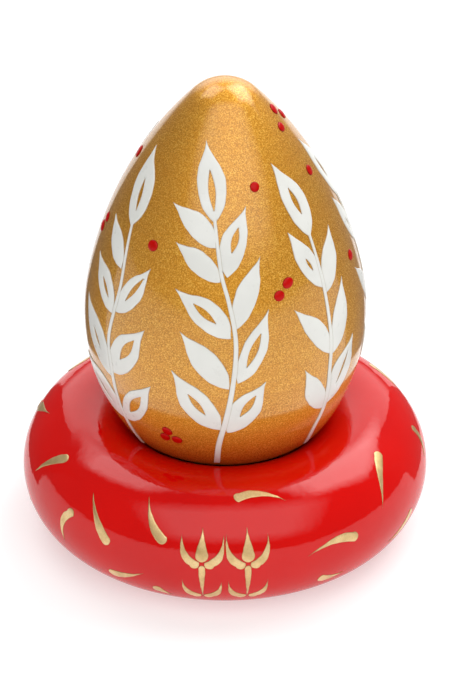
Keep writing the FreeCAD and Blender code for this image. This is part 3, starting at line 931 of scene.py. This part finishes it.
def direction(azimuth, elevation):
    """A unit vector. Azimuth is from the front towards +X."""
    turn, rise = math.radians(azimuth), math.radians(elevation)
    level = math.cos(rise)
    return Vector((math.sin(turn) * level, -math.cos(turn) * level, math.sin(rise)))


def add_flag(name, first, last, top, grey):
    """A sloping grey card that hides the bright table on one side, in reflections only."""
    turns = np.linspace(first, last, FLAG_STEPS)
    edges = ((FLAG_NEAR, FLAG_LIFT), (FLAG_FAR, top))
    points = [direction(turn, 0) * far + Vector((0, 0, high))
              for far, high in edges for turn in turns]
    faces = [(i, i + 1, i + 1 + FLAG_STEPS, i + FLAG_STEPS) for i in range(FLAG_STEPS - 1)]
    mesh = bpy.data.meshes.new(name)
    mesh.from_pydata(points, [], faces)
    card = bpy.data.objects.new(name, mesh)
    bpy.context.scene.collection.objects.link(card)
    material = bpy.data.materials.new(name)
    material.use_nodes = True
    shader = material.node_tree.nodes["Principled BSDF"]
    shader.inputs["Base Color"].default_value = (grey, grey, grey, 1)
    shader.inputs["Roughness"].default_value = 0.9
    card.data.materials.append(material)
    card.visible_camera = False
    card.visible_diffuse = False
    card.visible_shadow = False


def add_softbox(name, azimuth, elevation, distance, size, radiance):
    """A light that faces the egg and fades to its edges from the radiance of its middle."""
    out = direction(azimuth, elevation)
    light = bpy.data.lights.new(name, "AREA")
    light.shape = "RECTANGLE"
    light.size, light.size_y = size
    light.energy = radiance * math.pi * size[0] * size[1]
    light.use_nodes = True
    nodes, links = light.node_tree.nodes, light.node_tree.links
    centred = nodes.new("ShaderNodeVectorMath")
    centred.operation = "SUBTRACT"
    centred.inputs[1].default_value = (0.5, 0.5, 0)
    links.new(nodes.new("ShaderNodeNewGeometry").outputs["Parametric"], centred.inputs[0])
    offset = nodes.new("ShaderNodeVectorMath")
    offset.operation = "ABSOLUTE"
    links.new(centred.outputs["Vector"], offset.inputs[0])
    split = nodes.new("ShaderNodeSeparateXYZ")
    links.new(offset.outputs["Vector"], split.inputs["Vector"])
    fade = nodes.new("ShaderNodeMath")
    fade.operation = "MULTIPLY"
    links.new(spread(nodes, links, split.outputs["X"], 1, 0, *SOFTBOX_FADE), fade.inputs[0])
    links.new(spread(nodes, links, split.outputs["Y"], 1, 0, *SOFTBOX_FADE), fade.inputs[1])
    links.new(fade.outputs["Value"], nodes["Emission"].inputs["Strength"])
    lamp = bpy.data.objects.new(name, light)
    lamp.location = SOFTBOX_AIM + out * distance
    lamp.rotation_mode = "QUATERNION"
    lamp.rotation_quaternion = out.to_track_quat("Z", "Y")
    lamp.visible_camera = False
    bpy.context.scene.collection.objects.link(lamp)


def add_studio():
    """Soft light from both sides, above and behind, and the flags below it."""
    world = bpy.data.worlds.new("studio")
    world.use_nodes = True
    background = world.node_tree.nodes["Background"]
    background.inputs["Color"].default_value = (1, 1, 1, 1)
    background.inputs["Strength"].default_value = WORLD_STRENGTH
    bpy.context.scene.world = world
    for softbox in SOFTBOXES:
        add_softbox(*softbox)
    for flag in FLAGS:
        add_flag(*flag)


def add_camera():
    """The viewing angle of a table-top picture, from the front and above."""
    camera = bpy.data.objects.new("camera", bpy.data.cameras.new("camera"))
    camera.data.lens = LENS
    camera.data.sensor_width = SENSOR_WIDTH
    back = direction(0, CAMERA_ELEVATION)
    camera.location = CAMERA_AIM + back * CAMERA_DISTANCE
    camera.rotation_mode = "QUATERNION"
    camera.rotation_quaternion = (-back).to_track_quat("-Z", "Y")
    bpy.context.scene.collection.objects.link(camera)
    bpy.context.scene.camera = camera


# ---------------------------------------------------------------- making it

bpy.context.scene.view_settings.view_transform = "Standard"
add_camera()
add_studio()
add_floor()

rng = np.random.default_rng(SEED)
# The darker edge colours of both enamels are painted shade at their edges and seams.
white = enamel("white_enamel", dark=(0.70, 0.70, 0.66), light=(0.76, 0.76, 0.72),
               edge_shade_colour=(0.42, 0.33, 0.22), gloss=0.3)
red = enamel("red_enamel", dark=(0.43, 0.002, 0.001), light=(0.50, 0.002, 0.001),
             edge_shade_colour=(0.16, 0.002, 0.001), gloss=0.1)
gold = gold_paint()

make_egg(gold_lacquer())
make_ring(red_lacquer())
for name, drawing, mirror, azimuth in SPRIGS:
    make_sprig(name, drawing, mirror, azimuth, rng, white)
make_berries(rng, red)
make_strokes("gold_brush_strokes", "gold_strokes",
             [Stroke(*row, STROKE_WIDTH) for row in STROKES], rng, gold)
make_strokes("gold_tulips", "gold_ornament", tulip_strokes(), rng, gold)
